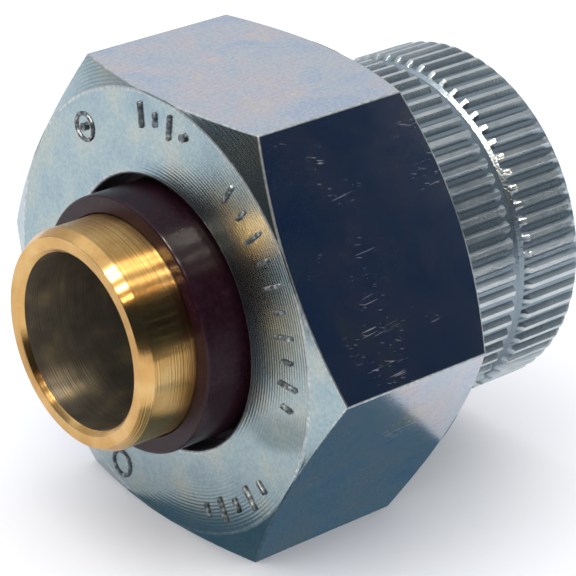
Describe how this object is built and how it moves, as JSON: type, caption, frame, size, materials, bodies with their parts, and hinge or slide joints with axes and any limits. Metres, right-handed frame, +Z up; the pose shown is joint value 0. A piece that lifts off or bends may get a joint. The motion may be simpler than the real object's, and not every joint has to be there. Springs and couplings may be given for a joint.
{
  "type": "pipe union",
  "caption": "Dielectric pipe union: a hexagon nut clamps an insulated brass solder tailpiece and a gasket against a knurled hub with a female pipe thread.",
  "frame": {"origin": "centre of the solder socket's tube stop, on the pipe axis", "axes": "+X along the pipe axis towards the hub with the female pipe thread, +Z up, square to two opposite flats of the nut; the union rests on the lower flat"},
  "size_m": [0.0626, 0.0656, 0.0568],
  "materials": {
    "hub_steel": "bright zinc plated, straight knurl",
    "nut_steel": "zinc plated with a faint blue chromate, turned face",
    "tail_brass": "machined",
    "sleeve_plastic": "turned, dark maroon",
    "gasket_rubber": "moulded"
  },
  "bodies": {
    "hub": {"threaded_hub": "hub_steel"},
    "sleeve": {"insulating_sleeve": "sleeve_plastic"},
    "nut": {"union_nut": "nut_steel"},
    "tailpiece": {"solder_tailpiece": "tail_brass"},
    "gasket": {"face_gasket": "gasket_rubber"}
  },
  "joints": [
    {"name": "union_open", "type": "slide", "parent": "hub", "child": "sleeve", "axis": [-1, 0, 0], "range_m": [0, 0.01164]},
    {"name": "nut_turn", "type": "hinge", "parent": "sleeve", "child": "nut", "pos_m": [0, 0, 0], "axis": [-1, 0, 0], "range_deg": [0, 1980]},
    {"name": "tailpiece_swivel", "type": "hinge", "parent": "sleeve", "child": "tailpiece", "pos_m": [0, 0, 0], "axis": [-1, 0, 0], "continuous": true},
    {"name": "gasket_lift", "type": "slide", "parent": "hub", "child": "gasket", "axis": [-1, 0, 0], "range_m": [0, 0.00582]}
  ],
  "couplings": [
    {"joint": "union_open", "follows": "nut_turn", "m_per_rad": 0.00033688},
    {"joint": "gasket_lift", "follows": "nut_turn", "m_per_rad": 0.00016844}
  ]
}
